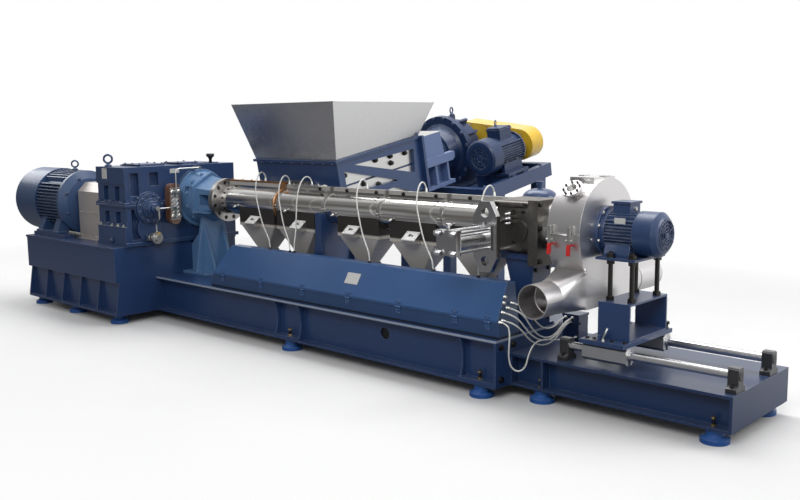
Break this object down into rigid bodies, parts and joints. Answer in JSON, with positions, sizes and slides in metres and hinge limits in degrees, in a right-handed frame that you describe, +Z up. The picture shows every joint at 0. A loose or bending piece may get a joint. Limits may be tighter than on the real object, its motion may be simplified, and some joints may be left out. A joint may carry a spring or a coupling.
{
  "type": "plastic extruder",
  "caption": "Single-screw extruder line: motor and gearbox, air-cooled barrel, side feeder with hopper, screen changer and sliding die-face pelletiser hood.",
  "frame": {"origin": "middle of the whole line's outline at floor level, under the levelling feet", "axes": "+X along the barrel from the main motor to the pelletiser, +Y from the operator's side to the side feeder, +Z up"},
  "size_m": [6.99, 3.5398, 1.85],
  "materials": {
    "black_paint": "black satin paint",
    "bright_blue_paint": "bright blue gloss enamel",
    "brown_cooler": "brown lacquer on brazed plates",
    "cast_aluminium": "cast aluminium",
    "copper": "drawn copper, slightly tarnished",
    "dark_steel": "dark oiled steel",
    "machined_steel": "turned and ground steel",
    "motor_blue_paint": "blue enamel on a finned housing",
    "navy_paint": "deep blue gloss enamel over welded and cast steel",
    "polished_steel": "polished stainless sheet with long soft streaks",
    "red_plastic": "red dipped handle grips on zinc plated levers",
    "stainless": "brushed stainless sheet",
    "trough_blue_paint": "mid blue gloss enamel on folded sheet",
    "white_cable": "white sleeving",
    "white_plastic": "off-white moulded plastic",
    "yellow_paint": "yellow enamel on sheet"
  },
  "bodies": {
    "frame": {"drive_base": "navy_paint", "bed_frame": "navy_paint", "pelletiser_base": "navy_paint", "levelling_feet": "bright_blue_paint", "main_motor": "motor_blue_paint", "coupling_guard": "stainless", "gearbox_lower": "navy_paint", "gearbox_upper": "navy_paint", "bearing_cover": "navy_paint", "oil_cooler": "brown_cooler", "oil_pipes": "dark_steel", "lantern_housing": "navy_paint", "barrel": "machined_steel", "cover_bands": "stainless", "barrel_covers": "polished_steel", "feed_housing": "machined_steel", "copper_pipe": "copper", "cooling_ducts": "stainless", "blowers": "black_paint", "terminal_boxes": "stainless", "terminal_lids": "white_plastic", "barrel_supports": "navy_paint", "wiring_trough": "trough_blue_paint", "trough_lid": "trough_blue_paint", "screen_changer": "dark_steel", "slide_drive": "machined_steel", "die_head": "machined_steel", "oil_reservoir": "bright_blue_paint", "feeder_body": "navy_paint", "feeder_sides": "navy_paint", "feeder_panels": "stainless", "feeder_hopper": "stainless", "feeder_link": "navy_paint", "feeder_reducer": "navy_paint", "feeder_motor": "navy_paint", "belt_guard": "yellow_paint", "feeder_stand": "navy_paint", "guide_rails": "machined_steel", "rail_blocks": "black_paint", "lead_1": "white_cable", "lead_2": "white_cable", "lead_3": "white_cable", "lead_4": "white_cable", "lead_5": "white_cable", "lead_6": "white_cable", "cable_1": "white_cable", "cable_2": "white_cable", "cable_3": "white_cable", "cable_4": "white_cable", "cable_5": "white_cable"},
    "carriage": {"carriage_bearings": "cast_aluminium", "carriage_frame": "navy_paint", "threaded_rods": "dark_steel", "pelletiser_motor": "navy_paint", "cutter": "dark_steel", "hood_drum": "stainless", "hood_duct": "stainless", "spouts": "stainless", "inlet_flange": "stainless", "toggle_clamps": "red_plastic"}
  },
  "joints": [
    {"name": "carriage_slide", "type": "slide", "parent": "frame", "child": "carriage", "axis": [1, 0, 0], "range_m": [0, 0.56]}
  ]
}
